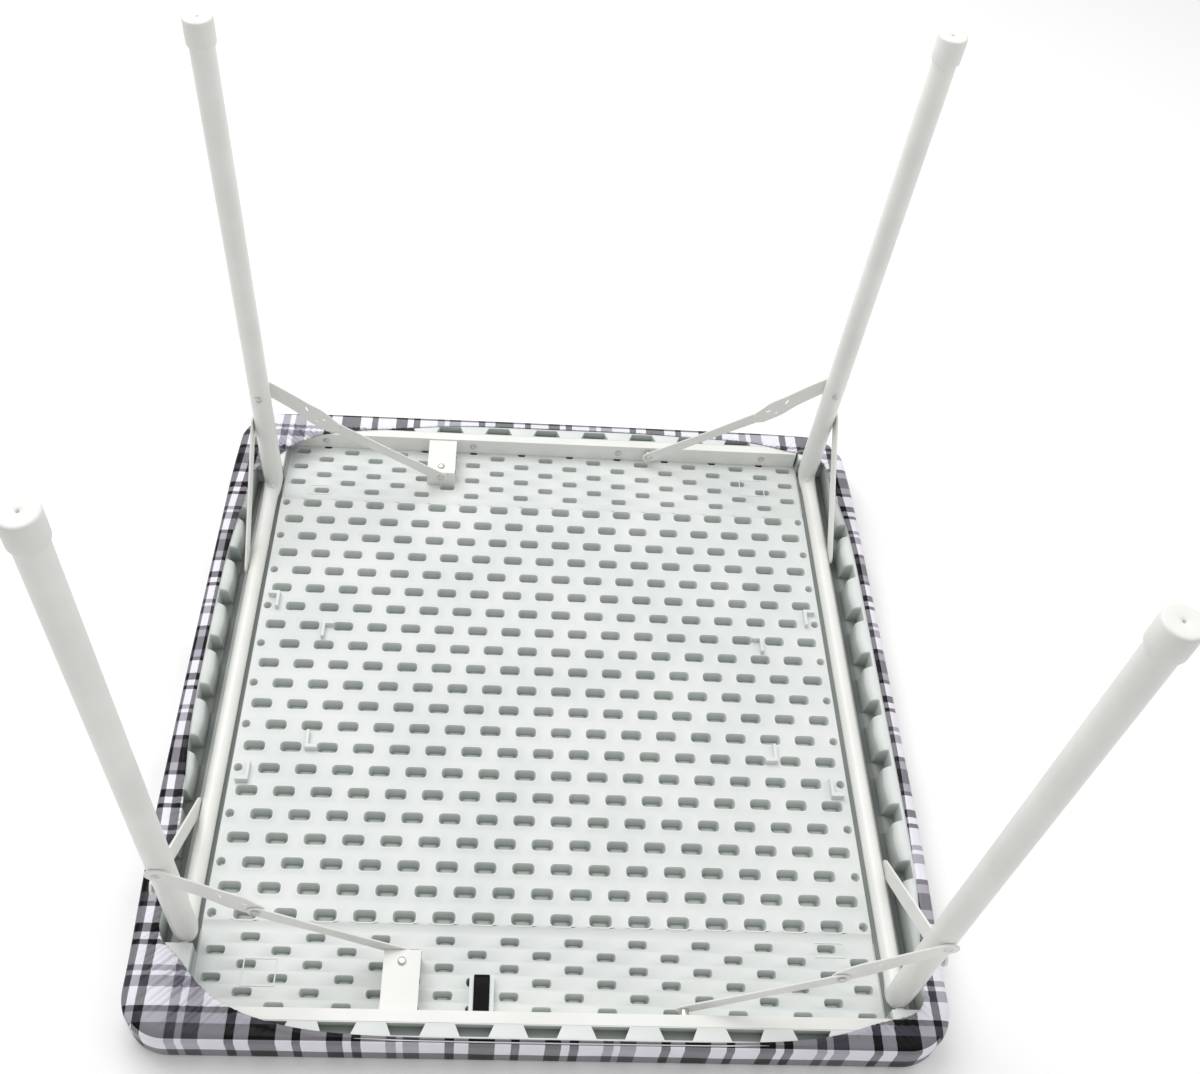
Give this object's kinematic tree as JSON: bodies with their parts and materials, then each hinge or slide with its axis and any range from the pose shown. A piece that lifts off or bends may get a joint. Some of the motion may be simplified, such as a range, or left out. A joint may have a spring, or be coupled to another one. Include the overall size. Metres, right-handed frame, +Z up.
{
  "type": "folding table with fitted tablecloth",
  "caption": "Square folding card table lying upside down on its top with its legs up, wearing a fitted plaid tablecloth whose elastic hem turns in over the rim.",
  "frame": {"origin": "on the floor under the middle of the table, which lies upside down on its clothed top", "axes": "+Z up from the clothed top towards the foot caps, +X towards the right leg frame, +Y towards the far rail"},
  "size_m": [0.864, 0.864, 0.7452],
  "materials": {
    "plaid_vinyl": "printed plaid vinyl, satin",
    "elastic": "covered elastic cord",
    "white_polyethylene": "moulded, matte",
    "white_cap_plastic": "moulded, satin",
    "white_painted_steel": "powder coat, semi-gloss",
    "zinc_steel": "zinc plate",
    "black_webbing": "woven"
  },
  "bodies": {
    "clothed_top": {"tablecloth": "plaid_vinyl", "hem_elastic": "elastic", "tabletop": "white_polyethylene", "near_rail": "white_painted_steel", "far_rail": "white_painted_steel", "near_brace_bracket": "white_painted_steel", "far_brace_bracket": "white_painted_steel", "near_bracket_screw": "zinc_steel", "far_bracket_screw": "zinc_steel", "leg_strap": "black_webbing", "strap_holder": "white_polyethylene", "near_rail_screw_1": "zinc_steel", "near_rail_screw_2": "zinc_steel", "near_rail_screw_3": "zinc_steel", "near_rail_screw_4": "zinc_steel", "far_rail_screw_1": "zinc_steel", "far_rail_screw_2": "zinc_steel", "far_rail_screw_3": "zinc_steel", "far_rail_screw_4": "zinc_steel", "left_near_hinge_pin": "zinc_steel", "left_near_brace_foot_pin": "zinc_steel", "left_far_hinge_pin": "zinc_steel", "left_far_brace_foot_pin": "zinc_steel", "right_near_hinge_pin": "zinc_steel", "right_near_brace_foot_pin": "zinc_steel", "right_far_hinge_pin": "zinc_steel", "right_far_brace_foot_pin": "zinc_steel"},
    "left_frame": {"left_cross_tube": "white_painted_steel", "left_near_leg": "white_painted_steel", "left_near_foot_cap": "white_cap_plastic", "left_near_gusset": "white_painted_steel", "left_near_leg_rivet": "zinc_steel", "left_far_leg": "white_painted_steel", "left_far_foot_cap": "white_cap_plastic", "left_far_gusset": "white_painted_steel", "left_far_leg_rivet": "zinc_steel"},
    "left_near_upper_brace": {"left_near_upper_link": "white_painted_steel"},
    "left_near_lower_brace": {"left_near_lower_link": "white_painted_steel", "left_near_elbow_rivet": "zinc_steel"},
    "left_far_upper_brace": {"left_far_upper_link": "white_painted_steel"},
    "left_far_lower_brace": {"left_far_lower_link": "white_painted_steel", "left_far_elbow_rivet": "zinc_steel"},
    "right_frame": {"right_cross_tube": "white_painted_steel", "right_near_leg": "white_painted_steel", "right_near_foot_cap": "white_cap_plastic", "right_near_gusset": "white_painted_steel", "right_near_leg_rivet": "zinc_steel", "right_far_leg": "white_painted_steel", "right_far_foot_cap": "white_cap_plastic", "right_far_gusset": "white_painted_steel", "right_far_leg_rivet": "zinc_steel"},
    "right_near_upper_brace": {"right_near_upper_link": "white_painted_steel"},
    "right_near_lower_brace": {"right_near_lower_link": "white_painted_steel", "right_near_elbow_rivet": "zinc_steel"},
    "right_far_upper_brace": {"right_far_upper_link": "white_painted_steel"},
    "right_far_lower_brace": {"right_far_lower_link": "white_painted_steel", "right_far_elbow_rivet": "zinc_steel"}
  },
  "joints": [
    {"name": "left_leg_fold", "type": "hinge", "parent": "clothed_top", "child": "left_frame", "pos_m": [-0.38, 0, 0.0391], "axis": [0, 1, 0], "range_deg": [0, 90.7]},
    {"name": "left_near_upper_brace_turn", "type": "hinge", "parent": "left_frame", "child": "left_near_upper_brace", "pos_m": [-0.3821, -0.3317, 0.21109], "axis": [0, 1, 0], "range_deg": [0, 48.61]},
    {"name": "left_near_lower_brace_turn", "type": "hinge", "parent": "clothed_top", "child": "left_near_lower_brace", "pos_m": [-0.149, -0.3338, 0.0388], "axis": [0, 1, 0], "range_deg": [-33.19, 0]},
    {"name": "left_far_upper_brace_turn", "type": "hinge", "parent": "left_frame", "child": "left_far_upper_brace", "pos_m": [-0.3821, 0.3317, 0.21109], "axis": [0, 1, 0], "range_deg": [0, 48.61]},
    {"name": "left_far_lower_brace_turn", "type": "hinge", "parent": "clothed_top", "child": "left_far_lower_brace", "pos_m": [-0.149, 0.3338, 0.0388], "axis": [0, 1, 0], "range_deg": [-33.19, 0]},
    {"name": "right_leg_fold", "type": "hinge", "parent": "clothed_top", "child": "right_frame", "pos_m": [0.38, 0, 0.0391], "axis": [0, -1, 0], "range_deg": [0, 87.5]},
    {"name": "right_near_upper_brace_turn", "type": "hinge", "parent": "right_frame", "child": "right_near_upper_brace", "pos_m": [0.3821, -0.3857, 0.21109], "axis": [0, -1, 0], "range_deg": [0, 60.98]},
    {"name": "right_near_lower_brace_turn", "type": "hinge", "parent": "clothed_top", "child": "right_near_lower_brace", "pos_m": [0.149, -0.3878, 0.0388], "axis": [0, -1, 0], "range_deg": [-24.01, 0]},
    {"name": "right_far_upper_brace_turn", "type": "hinge", "parent": "right_frame", "child": "right_far_upper_brace", "pos_m": [0.3821, 0.3857, 0.21109], "axis": [0, -1, 0], "range_deg": [0, 60.98]},
    {"name": "right_far_lower_brace_turn", "type": "hinge", "parent": "clothed_top", "child": "right_far_lower_brace", "pos_m": [0.149, 0.3878, 0.0388], "axis": [0, -1, 0], "range_deg": [-24.01, 0]}
  ],
  "couplings": [
    {"joint": "left_near_upper_brace_turn", "follows": "left_leg_fold", "ratio": 0.53579},
    {"joint": "left_near_lower_brace_turn", "follows": "left_leg_fold", "ratio": -0.36583},
    {"joint": "left_far_upper_brace_turn", "follows": "left_leg_fold", "ratio": 0.53579},
    {"joint": "left_far_lower_brace_turn", "follows": "left_leg_fold", "ratio": -0.36583},
    {"joint": "right_near_upper_brace_turn", "follows": "right_leg_fold", "ratio": 0.69681},
    {"joint": "right_near_lower_brace_turn", "follows": "right_leg_fold", "ratio": -0.27428},
    {"joint": "right_far_upper_brace_turn", "follows": "right_leg_fold", "ratio": 0.69681},
    {"joint": "right_far_lower_brace_turn", "follows": "right_leg_fold", "ratio": -0.27428}
  ]
}
